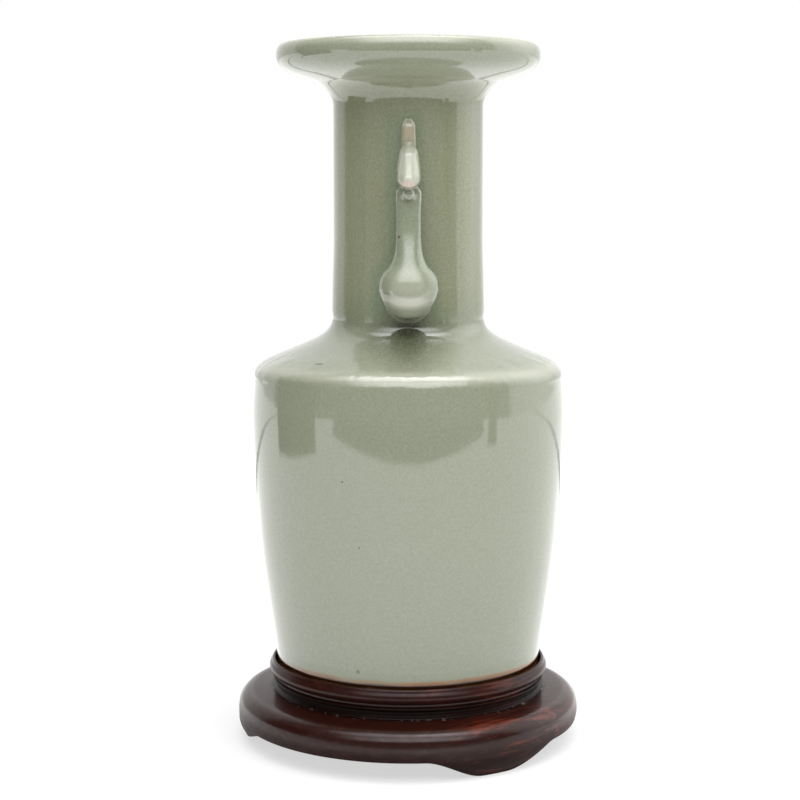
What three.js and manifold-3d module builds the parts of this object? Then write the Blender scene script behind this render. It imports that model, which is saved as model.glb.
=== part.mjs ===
// Two-handled mallet vase in celadon, standing in a turned hardwood stand.
// Millimetres, +Z up. The origin is on the axis, in the plane that the stand's feet rest on.
// The handles lie in the YZ plane: the front one is at -Y and the back one at +Y.
import * as THREE from "three";
import { mergeVertices } from "three/addons/utils/BufferGeometryUtils.js";
import Module from "manifold-3d";

const wasm = await Module();
wasm.setup();

// Stand: base with three carved feet
const baseRadius = 70.3; // widest ring of the base
const baseHeight = 12.8; // from the skirt's lower edge to the face that carries the collar
const baseTopFall = 2.8; // how far the open part of the top slopes down before its rounded edge
const edgeWidth = 4.3; // width of that rounded edge
const creaseDrop = 6.0; // crease between the rounded edge and the skirt, below the carrying face
const creaseInset = 0.5; // the crease stands in from the widest ring
const skirtRound = 2.8; // from the crease down to the widest ring
const skirtWall = 11.0; // width of the skirt's underside
const baseRecess = 2.5; // hollow under the base, above the skirt's lower edge
const footCount = 3;
const footHeight = 8.0; // from the resting plane to the skirt's lower edge
const footWidth = 12.0; // flat length of a foot along the skirt
const footSpread = 63.0; // length over which a foot's curved sides run into the skirt
const footDrawIn = 4.0; // how far a foot's tip stands in from the skirt
const footTurn = 31.0; // degrees from -Y towards +X to the first foot

// Stand: collar
const ledgeHeight = 5.2; // the ledge that the vase stands on, above the base
const ledgeWidth = 9.8;
const cupDepth = 7.0; // from the ledge to the collar's top
const cupClearance = 0.8; // round the vase at the collar's top
const lipWall = 2.6; // thickness of the collar's rounded lip
const waistWall = 0.9; // how far the collar's foot and bead stand out past the cup
const waistHollow = 1.1; // depth of the hollow waist between foot and bead
const beadRadius = 0.9; // the small bead under the lip

// Vase: body
const footRingHeight = 5.0;
const footRingWall = 7.0;
const footInset = 0.7; // the foot ring stands in from the body above it
const footChamfer = 1.2;
const lowerRadius = 54.0; // the body where it leaves the collar
const taperHeight = 46.0; // the wall leans out evenly up to here
const bellyRadius = 63.8;
const bellyHeight = 108.0; // height of the widest ring above the foot
const shoulderHeight = 124.0; // height at which the wall starts to turn in
const shoulderTuck = 0.9; // how far it has drawn in by then
const shoulderRound = 6.7; // height of the rounded edge of the shoulder
const shoulderRise = 23.0; // from the start of the turn to the neck
const bodyWall = 5.5;
const floorWall = 5.0;

// Vase: neck
const neckRadius = 30.2;
const neckSwell = 0.8; // extra radius at the neck's foot
const swellHeight = 34.0; // height over which the swell runs out
const neckHeight = 85.0;
const neckWall = 5.5;
const neckFillet = 9.4; // height of the fillet between shoulder and neck

// Vase: mouth
const mouthRadius = 53.1;
const flareHeight = 9.5; // the fillet that leads from the neck to the underside
const flareWidth = 7.3;
const coneRise = 2.5; // rise of the underside, a shallow cone
const lipRise = 8.1; // from the cone to the widest ring of the lip
const lipHeight = 4.5; // from the widest ring to the top
const lipWidth = 5.6;
const mouthWall = 5.0;

// Vase: handles
const handleFoot = 2.0; // lowest point of a handle above the neck's foot
const crestClear = 5.6; // from the tip of the crest to the mouth
const breastHeight = 24.4; // from the lowest point to the slot
const breastWidth = 23.4;
const breastReach = 16.0; // how far the breast stands out from the neck
const shaftWidth = 9.2;
const shaftDepth = 6.0;
const slotDepth = 5.8; // the open slot between the neck and the shaft
const slotHeight = 29.0;
const crestWidth = 2.3; // at the tip, where it runs out on the neck
const headWidth = 8.8;
const headLength = 17.0;
const headReach = 17.6; // how far the beak stands out from the neck
const beakDrop = 3.9; // the beak hangs this far below the top of the slot
const ballDiameter = 4.6; // the small ball under the beak
const lutingGap = 0.3; // glaze-filled gap between a handle and the neck

// Facets
const turnedFacets = 40; // flat sides of each turned piece
const handleFacets = 14; // points round a handle

// Heights of the stand above the resting plane
const baseTop = footHeight + baseHeight;
const seat = baseTop + ledgeHeight;

// Heights of the vase above its own foot
const neckFoot = shoulderHeight + shoulderRise;
const mouthFoot = neckFoot + neckHeight;
const coneTop = mouthFoot + flareHeight + coneRise;
const lipMiddle = coneTop + lipRise;
const rimTop = lipMiddle + lipHeight;

// Radii shared by neighbours
const cupRadius = lowerRadius + cupClearance;
const waistRadius = cupRadius + waistWall;
const footRadius = lowerRadius - footInset;
const boreRadius = neckRadius - neckWall;

const glazeLook = { color: 0xa5ae9b, roughness: 0.12, metalness: 0 };
const woodLook = { color: 0x3a2320, roughness: 0.38, metalness: 0 };

// One stretch of an outline: a cubic curve without its first point.
function bend(from, leave, arrive, to, steps) {
  const points = [from, leave, arrive, to].map((p) => new THREE.Vector2(...p));
  return new THREE.CubicBezierCurve(...points).getPoints(steps).slice(1).map((p) => [p.x, p.y]);
}

// A half circle that stands out of an outline, from its lowest to its highest point.
function halfRound(radius, middle, size, steps) {
  const points = [];
  for (let i = 0; i <= steps; i++) {
    const angle = (i / steps - 0.5) * Math.PI;
    points.push([radius + size * Math.cos(angle), middle + size * Math.sin(angle)]);
  }
  return points;
}

// Keeps the positions alone and merges the ones that coincide.
function welded(geometry) {
  const plain = geometry.clone();
  plain.deleteAttribute("normal");
  plain.deleteAttribute("uv");
  return mergeVertices(plain, 1e-4);
}

// Turns an outline of [radius, height] points, which closes on itself, about the Z axis.
function turned(outline) {
  const profile = [...outline, outline[0]].map(([r, z]) => new THREE.Vector2(r, z));
  const geometry = new THREE.LatheGeometry(profile, turnedFacets);
  geometry.rotateX(Math.PI / 2);
  return welded(geometry);
}

// A closed skin through level rings of points, from a lowest point to a highest one.
// Each ring runs anticlockwise seen from above.
function ringSkin(lowest, rings, highest) {
  const count = rings[0].length;
  const positions = [lowest, ...rings.flat(), highest].flat();
  const last = rings.length * count + 1;
  const index = [];
  for (let i = 0; i < count; i++) {
    const next = (i + 1) % count;
    index.push(0, 1 + next, 1 + i);
    for (let ring = 0; ring + 1 < rings.length; ring++) {
      const low = 1 + ring * count;
      const high = low + count;
      index.push(low + i, low + next, high + next);
      index.push(low + i, high + next, high + i);
    }
    index.push(last, last - count + i, last - count + next);
  }
  const geometry = new THREE.BufferGeometry();
  geometry.setAttribute("position", new THREE.Float32BufferAttribute(positions, 3));
  geometry.setIndex(index);
  return geometry;
}

function toSolid(geometry) {
  const shape = welded(geometry);
  return new wasm.Manifold(new wasm.Mesh({
    numProp: 3,
    vertProperties: new Float32Array(shape.attributes.position.array),
    triVerts: new Uint32Array(shape.index.array),
  }));
}

function toGeometry(solid) {
  const mesh = solid.getMesh();
  const geometry = new THREE.BufferGeometry();
  geometry.setAttribute("position", new THREE.BufferAttribute(mesh.vertProperties, 3));
  geometry.setIndex(new THREE.BufferAttribute(mesh.triVerts, 1));
  return geometry;
}

function piece(name, geometry, look) {
  const mesh = new THREE.Mesh(geometry, new THREE.MeshStandardMaterial(look));
  mesh.name = name;
  return mesh;
}

// Angles round the base and the height of the skirt's lower edge at each. The steps are closer
// together where a foot's sides curve. Those sides are ogee curves.
function skirtColumns() {
  const flatAngle = footWidth / 2 / baseRadius;
  const spreadAngle = footSpread / 2 / baseRadius;
  const halfSector = Math.PI / footCount;
  const sideSteps = 6;
  const openSteps = 5;
  const side = [];
  for (let i = 0; i <= sideSteps; i++) {
    side.push(THREE.MathUtils.lerp(flatAngle, spreadAngle, i / sideSteps));
  }
  for (let i = 1; i <= openSteps; i++) {
    side.push(THREE.MathUtils.lerp(spreadAngle, halfSector, i / openSteps));
  }
  const otherSide = side.slice(0, -1).map((angle) => -angle).reverse();
  const columns = [];
  for (let foot = 0; foot < footCount; foot++) {
    const middle = THREE.MathUtils.degToRad(footTurn) + 2 * halfSector * foot;
    for (const angle of [...otherSide, 0, ...side]) {
      const edge = footHeight * THREE.MathUtils.smoothstep(Math.abs(angle), flatAngle, spreadAngle);
      columns.push([middle + angle, edge]);
    }
  }
  return columns;
}

// The base is a turned disc. Its skirt hangs down into three feet, and each foot draws in
// towards its flat tip.
function standBase() {
  const columns = skirtColumns();
  const ring = (point) => columns.map(([angle, edge]) => {
    const [r, z] = point(edge);
    return [r * Math.sin(angle), -r * Math.cos(angle), z];
  });

  const creaseRadius = baseRadius - creaseInset;
  const crease = baseTop - creaseDrop;
  const widest = crease - skirtRound;
  const recess = footHeight + baseRecess;
  const skirtInside = creaseRadius - skirtWall;
  const rings = [ring(() => [skirtInside, recess]), ring((edge) => [skirtInside, edge])];

  const skirtSteps = 3;
  for (let i = skirtSteps; i > 0; i--) {
    rings.push(ring((edge) => {
      const z = THREE.MathUtils.lerp(widest, edge, i / skirtSteps);
      const down = THREE.MathUtils.clamp(1 - z / footHeight, 0, 1);
      return [creaseRadius - footDrawIn * down ** 1.5, z];
    }));
  }
  rings.push(ring(() => [baseRadius, widest]));

  const collarFoot = [waistRadius, baseTop];
  const slopeEnd = [baseRadius - edgeWidth, baseTop - baseTopFall];
  const top = [
    collarFoot,
    ...bend(collarFoot, [waistRadius + 4, baseTop - 0.2], [slopeEnd[0] - 3, slopeEnd[1] + 1], slopeEnd, 3),
    ...bend(slopeEnd, [slopeEnd[0] + 2, slopeEnd[1] - 0.7], [creaseRadius, crease + 2],
      [creaseRadius, crease], 3),
  ];
  top.reverse().forEach((point) => rings.push(ring(() => point)));
  return ringSkin([0, 0, recess], rings, [0, 0, baseTop]);
}

// The collar is a turned ring with a hollow waist, a bead, a rounded lip and, inside, a ledge
// for the vase.
function standCollar() {
  const top = seat + cupDepth;
  const hollow = waistRadius - waistHollow;
  const bead = halfRound(waistRadius - 0.2, seat - 0.3, beadRadius, 3);
  const neckIn = [waistRadius - 0.4, bead[3][1] + 0.4];
  const lip = [cupRadius + lipWall, neckIn[1] + 2];
  const brow = [cupRadius + 0.9, top];
  return turned([
    [cupRadius - ledgeWidth, baseTop],
    [waistRadius, baseTop],
    ...bend([waistRadius, baseTop], [waistRadius, baseTop + 1], [hollow, baseTop + 1.6],
      [hollow, bead[0][1] - 0.7], 3),
    ...bead,
    ...bend(neckIn, [lip[0] - 0.6, neckIn[1] + 0.1], [lip[0], neckIn[1] + 0.8], lip, 3),
    ...bend(lip, [lip[0], top - 1.4], [lip[0] - 1, top], brow, 4),
    [cupRadius, top - 0.7],
    [cupRadius, seat],
    [cupRadius - ledgeWidth, seat],
  ]);
}

// The body is thrown with its shoulder and its foot ring. The outline runs up the outside, over
// the belly and the shoulder to the neck, and back down the inside.
function vaseBody() {
  const footInside = footRadius - footRingWall;
  const collarTop = [lowerRadius, cupDepth];
  const leanRadius = (lowerRadius + bellyRadius) / 2;
  const belly = [bellyRadius, bellyHeight];
  const turnStart = [bellyRadius - shoulderTuck, shoulderHeight];
  const turnEnd = [bellyRadius - shoulderRound, shoulderHeight + shoulderRound];
  const neckOutside = [neckRadius + neckSwell, neckFoot];
  const filletStart = [neckOutside[0] + 1.06 * neckFillet, neckFoot - neckFillet];

  const floorTop = footRingHeight + floorWall;
  const insideFoot = [lowerRadius - bodyWall, floorTop + bodyWall];
  const insideBelly = [bellyRadius - bodyWall, bellyHeight];
  const insideTurn = [turnEnd[0] - 0.4 * bodyWall, turnEnd[1] - 1.15 * bodyWall];
  const insideFillet = [filletStart[0] - 0.2 * bodyWall, filletStart[1] - 1.1 * bodyWall];
  const bore = [boreRadius, neckFoot];
  const bellyLead = (bellyHeight - taperHeight) / 2;
  return turned([
    [footInside, 0],
    [footRadius - footChamfer, 0],
    [footRadius, footChamfer],
    collarTop,
    ...bend(collarTop, [leanRadius, taperHeight], [bellyRadius, bellyHeight - bellyLead], belly, 8),
    ...bend(belly, [bellyRadius, bellyHeight + 6], [turnStart[0] + 0.3, shoulderHeight - 4], turnStart, 2),
    ...bend(turnStart, [turnStart[0] - 0.3, shoulderHeight + 0.55 * shoulderRound],
      [turnEnd[0] + 4.4, turnEnd[1] - 0.33 * shoulderRound], turnEnd, 4),
    filletStart,
    ...bend(filletStart, [neckOutside[0] + 0.5 * neckFillet, neckFoot - 0.74 * neckFillet],
      [neckOutside[0] + 0.6, neckFoot - 0.5 * neckFillet], neckOutside, 4),
    bore,
    ...bend(bore, [boreRadius, neckFoot - neckFillet], [insideFillet[0] - 7, insideFillet[1] + 3], insideFillet, 3),
    ...bend(insideTurn, [insideTurn[0] + 2.4, insideTurn[1] - 1], [insideBelly[0], insideTurn[1] - 4],
      [insideBelly[0], insideTurn[1] - 8], 2),
    ...bend(insideBelly, [insideBelly[0], bellyHeight - bellyLead], [leanRadius - bodyWall, taperHeight],
      insideFoot, 5),
    ...bend(insideFoot, [insideFoot[0], floorTop + 0.3 * bodyWall], [insideFoot[0] - 3, floorTop],
      [insideFoot[0] - 2 * bodyWall, floorTop], 2),
    [0, floorTop],
    [0, footRingHeight],
    [footInside - 0.4 * footRingHeight, footRingHeight],
  ]);
}

// Outside of the neck, from its foot up: a slight swell, then straight. The extra radius lets the
// same outline cut the handles.
function neckOutline(extra) {
  const foot = [neckRadius + neckSwell + extra, neckFoot];
  const straight = [neckRadius + extra, neckFoot + swellHeight];
  return [
    foot,
    ...bend(foot, [foot[0], neckFoot + 0.5 * swellHeight], [straight[0], neckFoot + 0.65 * swellHeight],
      straight, 4),
    [neckRadius + extra, mouthFoot],
  ];
}

function vaseNeck() {
  return turned([...neckOutline(0), [boreRadius, mouthFoot], [boreRadius, neckFoot]]);
}

// The mouth is a shallow dish with a thick rounded lip. Its underside is a fillet and a cone.
function vaseMouth() {
  const neckTop = [neckRadius, mouthFoot];
  const flareEnd = [neckRadius + flareWidth, mouthFoot + flareHeight];
  const coneEnd = [mouthRadius - lipRise, coneTop];
  const widest = [mouthRadius, lipMiddle];
  const crown = [mouthRadius - 0.46 * lipWidth, rimTop];
  const lipInside = [mouthRadius - lipWidth, lipMiddle + 0.9];
  const dishFloor = coneTop + mouthWall;
  const dishEdge = [lipInside[0] - 6, dishFloor];
  const throat = [boreRadius + 5.3, dishFloor - coneRise];
  return turned([
    [boreRadius, mouthFoot],
    neckTop,
    ...bend(neckTop, [neckRadius, mouthFoot + 4], [neckRadius + 1, flareEnd[1] - 1.5], flareEnd, 4),
    coneEnd,
    ...bend(coneEnd, [coneEnd[0] + 4.7, coneTop + 1.9], [mouthRadius + 0.2, lipMiddle - 3.5], widest, 4),
    ...bend(widest, [mouthRadius, rimTop - 1.6], [mouthRadius - 0.7, rimTop], crown, 3),
    ...bend(crown, [crown[0] - 1.7, rimTop], [lipInside[0] + 0.5, rimTop - 1.6], lipInside, 3),
    ...bend(lipInside, [lipInside[0] - 0.7, dishFloor + 1.2], [dishEdge[0] + 3, dishFloor + 0.6], dishEdge, 2),
    throat,
    ...bend(throat, [throat[0] - 3.5, throat[1] - 0.8], [boreRadius, throat[1] - 3], [boreRadius, throat[1] - 7], 3),
  ]);
}

// Each handle is a bird reduced to a crest, a hooked head, a slim neck and a full breast. It is
// drawn as level slices. A slice holds its height above the handle's foot, its half width, how
// far it reaches out from the neck, and where it starts.
function handleSlices() {
  const sunk = -3; // behind the neck's surface, cut away later
  const breast = breastWidth / 2;
  const shaft = shaftWidth / 2;
  const reach = slotDepth + shaftDepth;
  const slotTop = breastHeight + slotHeight;
  const crest = neckHeight - handleFoot - crestClear - slotTop;
  const low = (share, width, out, start) => [share * breastHeight, width * breast, out * breastReach, start];
  const middle = (share, width, start) => [breastHeight + share * slotHeight, width * shaft, reach, start];
  const high = (share, width, out) => [slotTop + share * crest, width, out * reach, sunk];
  return [
    low(0.06, 0.39, 0.3, sunk),
    low(0.16, 0.66, 0.62, sunk),
    low(0.28, 0.82, 0.85, sunk),
    low(0.5, 1, 1, sunk),
    low(0.65, 0.95, 0.98, sunk),
    low(0.8, 0.83, 0.92, sunk),
    low(0.94, 0.64, 0.84, sunk),
    low(1, 0.58, 0.81, 0.75 * slotDepth),
    middle(0.1, 1.14, slotDepth),
    middle(0.45, 1, slotDepth),
    middle(0.88, 1.06, slotDepth),
    middle(0.97, 1.04, 0.75 * slotDepth),
    high(0.03, shaft, 1),
    high(0.35, 0.8 * shaft, 0.8),
    high(0.65, 0.6 * shaft, 0.55),
    high(0.88, crestWidth * 0.7, 0.25),
    high(0.97, crestWidth / 2, 0.1),
  ];
}

function handleSolid() {
  const foot = neckFoot + handleFoot;
  const slice = ([height, halfWidth, out, start]) => {
    const middle = neckRadius + (out + start) / 2;
    const halfDepth = (out - start) / 2;
    const ring = [];
    for (let i = 0; i < handleFacets; i++) {
      const angle = (2 * Math.PI * i) / handleFacets;
      ring.push([halfWidth * Math.cos(angle), -middle + halfDepth * Math.sin(angle), foot + height]);
    }
    return ring;
  };
  const neckFace = (height, out) => [0, -neckRadius - out, foot + height];
  const tip = neckHeight - handleFoot - crestClear;
  const bird = toSolid(ringSkin(neckFace(0, 0), handleSlices().map(slice), neckFace(tip, 0)));

  // The head is a drop shape in front of the crest, widest above the beak. Each ring holds its
  // share of the head's length and of its width.
  const beak = breastHeight + slotHeight - beakDrop;
  const headBack = slotDepth + 1;
  const headRings = [[0.04, 0.55], [0.12, 0.86], [0.26, 1], [0.45, 0.88], [0.65, 0.66], [0.85, 0.42]];
  const headSlices = headRings.map(([share, width]) => slice([beak + share * headLength,
    (width * headWidth) / 2, headBack + (headReach - headBack) * Math.sqrt(width), headBack]));
  const head = toSolid(ringSkin(neckFace(beak, slotDepth + shaftDepth), headSlices,
    neckFace(beak + headLength, headBack)));

  const ball = new THREE.SphereGeometry(ballDiameter / 2, 10, 7);
  ball.translate(...neckFace(beak - 0.35 * ballDiameter, slotDepth + shaftDepth + 0.2 * ballDiameter));

  const neckSpace = turned([[0, neckFoot], ...neckOutline(lutingGap), [0, mouthFoot]]);
  return bird.add(head).add(toSolid(ball)).subtract(toSolid(neckSpace));
}

function handle(name, turn) {
  const shape = toGeometry(handleSolid());
  shape.rotateZ(THREE.MathUtils.degToRad(turn));
  return piece(name, shape, glazeLook);
}

const stand = new THREE.Group();
stand.add(piece("stand_base", standBase(), woodLook));
stand.add(piece("stand_collar", standCollar(), woodLook));

const vase = new THREE.Group();
vase.position.z = seat;
vase.add(piece("vase_body", vaseBody(), glazeLook));
vase.add(piece("vase_neck", vaseNeck(), glazeLook));
vase.add(piece("vase_mouth", vaseMouth(), glazeLook));
vase.add(handle("handle_front", 0));
vase.add(handle("handle_back", 180));

const object = new THREE.Group();
object.add(stand, vase);

export default object;
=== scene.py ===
"""Celadon mallet vase with two bird-shaped handles, in a turned hardwood stand with carved feet.

Lengths are in metres. The vase and the stand are surfaces of revolution about the Z axis, the
skirt of the stand and the handles are skins through level rings, and all finishes are procedural.
"""
import math

import bpy
import numpy as np
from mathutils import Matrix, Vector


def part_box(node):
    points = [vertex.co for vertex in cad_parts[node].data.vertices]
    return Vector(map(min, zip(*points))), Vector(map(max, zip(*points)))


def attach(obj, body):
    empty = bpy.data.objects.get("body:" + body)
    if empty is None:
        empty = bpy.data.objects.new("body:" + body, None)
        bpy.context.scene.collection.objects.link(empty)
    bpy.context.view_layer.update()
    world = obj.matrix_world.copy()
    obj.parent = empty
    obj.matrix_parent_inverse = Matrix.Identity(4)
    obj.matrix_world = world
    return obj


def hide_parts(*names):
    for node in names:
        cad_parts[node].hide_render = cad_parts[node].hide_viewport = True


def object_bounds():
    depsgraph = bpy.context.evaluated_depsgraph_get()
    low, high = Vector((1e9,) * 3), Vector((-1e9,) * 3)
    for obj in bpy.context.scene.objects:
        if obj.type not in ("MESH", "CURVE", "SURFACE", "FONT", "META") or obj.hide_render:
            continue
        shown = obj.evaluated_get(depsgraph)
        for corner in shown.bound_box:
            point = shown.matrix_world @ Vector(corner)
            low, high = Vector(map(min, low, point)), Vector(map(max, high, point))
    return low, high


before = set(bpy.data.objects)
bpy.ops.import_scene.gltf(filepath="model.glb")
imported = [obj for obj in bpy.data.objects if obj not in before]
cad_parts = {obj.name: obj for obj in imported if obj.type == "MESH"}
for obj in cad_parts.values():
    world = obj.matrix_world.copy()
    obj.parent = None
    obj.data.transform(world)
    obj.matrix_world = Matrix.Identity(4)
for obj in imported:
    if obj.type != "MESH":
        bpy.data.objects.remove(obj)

bl_info = {
    "name": "Celadon vase",
    "version": (1, 0, 0),
    "blender": (4, 5, 0),
    "location": "View3D > Sidebar > Vase",
    "description": "Makes a celadon vase with two handles and its carved wooden stand",
    "category": "Add Mesh",
}

CAD_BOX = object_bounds()
FOOT_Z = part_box("vase_body")[0].z
NECK_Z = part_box("vase_neck")[0].z
MOUTH_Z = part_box("vase_mouth")[0].z
RIM_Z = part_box("vase_mouth")[1].z
BASE_TOP_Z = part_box("stand_base")[1].z
COLLAR_TOP_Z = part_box("stand_collar")[1].z
SHOULDER_EDGE_Z = FOOT_Z + 0.1285
LIGHT_AIM_Z = CAD_BOX[1].z / 2

# how finely each surface is made: the longest step along an outline in metres, the counts of rings
# and of points round them, and the cubes in which the shells of a handle are fused
VASE_STEP = 0.0018
COLLAR_STEP = 0.0008
BASE_EDGE_STEP = 0.0007
SKIRT_RINGS = 17
HANDLE_RINGS = 300
BIRD_COLUMNS, HEAD_COLUMNS, BALL_COLUMNS = 72, 60, 40
FUSING_CUBE = 0.0003
SMOOTHING_ROUNDS = 7
SHARP_ANGLE = math.radians(40)

FLOOR_RADIUS = 2.6
FLOOR_POINTS = 96
CAMERA_LENS = 81.7
CAMERA_SENSOR = 36
CAMERA_PLACE = (-0.0033, -0.739, 0.2261)
CAMERA_TILT = math.radians(83.3)

# name, azimuth and elevation in degrees, distance, width and height in metres, and radiance
LAMPS = (
    ("key_lamp", 3, 46, 0.95, 2.1, 0.88, 3.8),
    ("top_lamp", 3, 80, 0.95, 1.7, 0.68, 5.2),
    ("right_lamp", 112, 27, 1.1, 1.4, 1.3, 0.7),
)
# name, azimuth in degrees, distance, width and height in metres, and grey
BOARDS = (
    ("left_board", -86, 0.62, 0.42, 0.45, 0.01),
    ("right_board", 60, 0.75, 0.09, 0.3, 0.01),
)

# oval places in front of and behind the neck, where the glaze lies thicker or thinner than round
# them, or where shade or a highlight is painted: the height above the neck's foot, and how far they
# reach up and down, and to each side
POOLS = {
    # the first two: pooled glaze below each handle with painted shade and a painted reflection of the
    # handle, and its darkest painted core
    "under_handle": (-0.006, 0.0085, 0.0095),
    "thickest_and_shaded": (-0.002, 0.0045, 0.0062),
    # painted shade on the shoulder round each handle's foot
    "painted_shade_round_handle": (-0.006, 0.0148, 0.02),
    # breast edge, breast and head below: thin glaze with a painted highlight and reflection
    "breast_edge": (0.0088, 0.0032, 0.011),
    "breast": (0.013, 0.013, 0.0095),
    "ball": (0.0505, 0.0027, 0.0027),
    "beak": (0.0538, 0.002, 0.0036),
    "head": (0.0612, 0.0105, 0.006),
}

# where hands have worn the stand most: a point on its front right, and how far round it
HANDLED = ((0.046, -0.056, 0.01), 0.032)

# small dark flaws in the glaze: a slit on the shoulder in three steps, then single pinholes
FLAWS = (
    ((-0.0358, -0.0403, 0.1577), 0.001),
    ((-0.0347, -0.0413, 0.1581), 0.0013),
    ((-0.0337, -0.0422, 0.1585), 0.001),
    ((-0.0595, -0.0143, 0.1539), 0.0008),
    ((-0.0408, -0.033, 0.2754), 0.0007),
    ((-0.0253, -0.0578, 0.1147), 0.0006),
    ((-0.0189, -0.0582, 0.0893), 0.0005),
    ((-0.0196, -0.0512, 0.039), 0.001),
    ((-0.0035, -0.0388, 0.2069), 0.0009),
)


def half_width(node):
    """Half the smaller level width of a CAD node, which a round piece of the same size stays in."""
    low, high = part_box(node)
    return min(high.x - low.x, high.y - low.y) / 2


def length(name, description, default):
    """A length in metres that a user may change."""
    return bpy.props.FloatProperty(name=name, description=description, default=default, unit="LENGTH",
                                   precision=4)


def colour(name, description, default):
    """A colour that a user may change."""
    return bpy.props.FloatVectorProperty(name=name, description=description, default=default,
                                         subtype="COLOR", size=3, min=0, max=1)


def add_object(name, data):
    """A new object with that data, in the scene."""
    added = bpy.data.objects.new(name, data)
    bpy.context.scene.collection.objects.link(added)
    return added


def read_values(items, name, width, kind=np.float32):
    """One property of all items of a mesh, such as its vertices, as rows of that width."""
    values = np.empty(len(items) * width, kind)
    items.foreach_get(name, values)
    return values.reshape(-1, width)


class VaseSizes(bpy.types.PropertyGroup):
    """Sizes of the thrown parts of the vase. Heights are above the vase's own foot."""
    columns: bpy.props.IntProperty(name="Columns", description="Points round the vase", default=256)
    wall: length("Wall", "Thickness of the walls", 0.0055)
    foot_inset: length("Foot inset", "How far the foot ring stands in", 0.0007)
    foot_ring: length("Foot ring", "Height of the foot ring", 0.005)
    foot_ring_wall: length("Foot ring wall", "Thickness of the foot ring", 0.007)
    lower_radius: length("Lower radius", "Radius where the body leaves the stand", 0.054)
    lower_height: length("Lower height", "Height at which the body leaves the stand", 0.007)
    belly_radius: length("Belly radius", "Widest radius of the body", half_width("vase_body"))
    belly_height: length("Belly height", "Height of the widest ring", 0.108)
    shoulder_height: length("Shoulder height", "Height at which the wall turns in", 0.124)
    shoulder_tuck: length("Shoulder tuck", "How far the wall has drawn in by then", 0.0009)
    shoulder_round: length("Shoulder round", "Height of the rounded edge of the shoulder", 0.0067)
    neck_radius: length("Neck radius", "Radius of the straight neck", 0.0302)
    neck_swell: length("Neck swell", "Extra radius at the neck's foot", 0.0008)
    swell_height: length("Swell height", "Height over which the swell runs out", 0.034)
    neck_fillet: length("Neck fillet", "Height of the fillet between shoulder and neck", 0.0094)
    mouth_radius: length("Mouth radius", "Widest radius of the mouth", half_width("vase_mouth"))
    flare_height: length("Flare height", "Height of the fillet under the mouth", 0.0095)
    flare_width: length("Flare width", "Width of the fillet under the mouth", 0.0073)
    cone_rise: length("Cone rise", "Rise of the underside of the mouth", 0.0025)
    lip_rise: length("Lip rise", "From the underside to the widest ring of the lip", 0.0081)
    lip_height: length("Lip height", "From the widest ring of the lip to its top", 0.0045)
    lip_width: length("Lip width", "Thickness of the lip", 0.0056)


class HandleSizes(bpy.types.PropertyGroup):
    """Sizes of a handle. Heights are above its lowest point, and reaches are out from the neck."""
    foot: length("Foot", "Lowest point of a handle above the neck's foot", 0.002)
    total: length("Height", "From the lowest point to the tip of the crest", 0.0774)
    breast_middle: length("Breast middle", "Height of the breast's widest level", 0.012)
    breast_width: length("Breast width", "Widest part of the breast", 0.0232)
    breast_reach: length("Breast reach", "How far the breast stands out", 0.016)
    shaft_width: length("Shaft width", "Narrowest part of the bird's neck", 0.0094)
    shaft_depth: length("Shaft depth", "Thickness of the bird's neck", 0.006)
    slot_bottom: length("Slot bottom", "Lower end of the slot behind the bird's neck", 0.0244)
    slot_height: length("Slot height", "Height of that slot", 0.029)
    slot_depth: length("Slot depth", "Depth of that slot", 0.0058)
    crest_width: length("Crest width", "Width of the crest above the head", 0.0064)
    head_bottom: length("Head bottom", "Height of the beak's lower edge", 0.0503)
    head_length: length("Head length", "From the beak's lower edge to the top of the head", 0.0164)
    head_width: length("Head width", "Widest part of the head", 0.0094)
    head_reach: length("Head reach", "How far the beak stands out", 0.0174)
    ball: length("Ball", "Diameter of the ball under the beak", 0.0046)
    fillet: length("Fillet", "Radius of the glaze where the breast meets the neck", 0.0022)
    narrow_fillet: length("Narrow fillet", "Radius of the glaze where the crest meets the neck", 0.0006)


class StandSizes(bpy.types.PropertyGroup):
    """Sizes of the wooden stand. Heights are above the plane that the feet rest on."""
    columns: bpy.props.IntProperty(name="Columns", description="Points round the stand", default=384)
    base_radius: length("Base radius", "Widest radius of the base", half_width("stand_base"))
    top_fall: length("Top fall", "How far the top slopes down before its rounded edge", 0.0014)
    edge_width: length("Edge width", "Width of the rounded edge", 0.0038)
    widest_drop: length("Widest drop", "From the top down to the widest ring", 0.0088)
    lower_inset: length("Lower inset", "How far the skirt's lower edge stands in", 0.0005)
    skirt_wall: length("Skirt wall", "Width of the skirt's underside", 0.011)
    recess: length("Recess", "Hollow under the base, above the skirt's lower edge", 0.0025)
    foot_height: length("Foot height", "Height of the carved feet", 0.008)
    foot_width: length("Foot width", "Flat length of a foot", 0.012)
    foot_spread: length("Foot spread", "Length over which a foot runs into the skirt", 0.063)
    foot_draw_in: length("Foot draw-in", "How far a foot's tip stands in", 0.004)
    foot_turn: bpy.props.FloatProperty(
        name="Foot turn", description="Angle from the front to the first foot",
        default=math.radians(31), subtype="ANGLE")
    ledge: length("Ledge", "Width of the ledge that carries the vase", 0.0098)
    clearance: length("Clearance", "Room between the collar and the vase", 0.0008)
    lip_wall: length("Lip wall", "Thickness of the collar's rounded lip", 0.0026)
    waist_wall: length("Waist wall", "Thickness of the collar at its foot", 0.0009)
    waist_hollow: length("Waist hollow", "Depth of the hollow waist", 0.0011)
    bead: length("Bead", "Radius of the small bead under the lip", 0.0006)


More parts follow.
